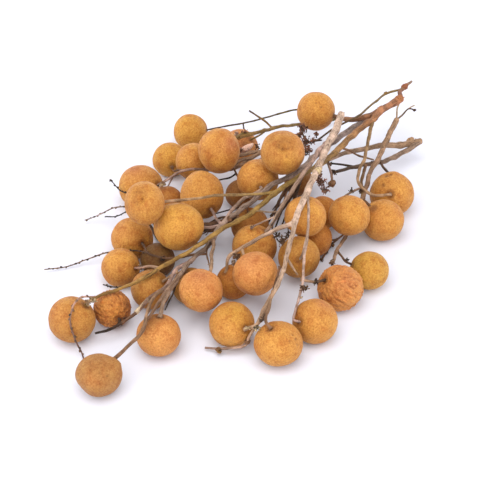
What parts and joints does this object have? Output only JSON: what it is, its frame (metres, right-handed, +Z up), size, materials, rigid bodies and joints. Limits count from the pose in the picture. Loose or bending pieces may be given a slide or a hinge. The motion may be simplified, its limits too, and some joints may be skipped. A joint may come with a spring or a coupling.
{
  "type": "bunch of longans",
  "caption": "Bunch of fresh longans lying on its side, tan-orange round fruits on a spray of woody brown stems and fine dry twigs.",
  "frame": {"origin": "centre of the bunch's bounding box, on the surface that it lies on", "axes": "+Z up; +Y towards the cut ends of the stems at the back, -Y towards the loose end in front; +X to the right of someone who looks along +Y"},
  "size_m": [0.2358, 0.2776, 0.0623],
  "materials": {
    "fruit_skin": "dull leathery rind with a fine net of paler gold over orange-brown",
    "olive_bark": "smooth olive bark, red-brown at the cut end",
    "grey_bark": "fine-grained grey-brown bark",
    "pale_bark": "smooth pale pinkish-beige bark",
    "tan_bark": "dull tan bark with small knobs",
    "dark_twig": "dry dark brown flower stalk"
  },
  "bodies": {
    "root": {"fruit_01": "fruit_skin", "fruit_02": "fruit_skin", "fruit_03": "fruit_skin", "fruit_04": "fruit_skin", "fruit_05": "fruit_skin", "fruit_06": "fruit_skin", "fruit_07": "fruit_skin", "fruit_08": "fruit_skin", "fruit_09": "fruit_skin", "fruit_10": "fruit_skin", "fruit_11": "fruit_skin", "fruit_12": "fruit_skin", "fruit_13": "fruit_skin", "fruit_14": "fruit_skin", "fruit_15": "fruit_skin", "fruit_16": "fruit_skin", "fruit_17": "fruit_skin", "fruit_18": "fruit_skin", "fruit_19": "fruit_skin", "fruit_20": "fruit_skin", "fruit_21": "fruit_skin", "fruit_22": "fruit_skin", "fruit_23": "fruit_skin", "fruit_24": "fruit_skin", "fruit_25": "fruit_skin", "fruit_26": "fruit_skin", "fruit_27": "fruit_skin", "fruit_28": "fruit_skin", "fruit_29": "fruit_skin", "fruit_30": "fruit_skin", "fruit_31": "fruit_skin", "fruit_32": "fruit_skin", "fruit_33": "fruit_skin", "fruit_34": "fruit_skin", "fruit_35": "fruit_skin", "fruit_36": "fruit_skin", "fruit_37": "fruit_skin", "fruit_38": "fruit_skin", "fruit_39": "fruit_skin", "fruit_40": "fruit_skin", "fruit_41": "fruit_skin", "middle_stem": "olive_bark", "grey_stem": "grey_bark", "pale_stem": "pale_bark", "leaning_branch": "grey_bark", "right_stem": "tan_bark", "forked_end": "tan_bark", "back_twig": "olive_bark", "thin_back_twig": "dark_twig", "left_twig": "dark_twig", "far_left_twig": "dark_twig"}
  },
  "joints": []
}
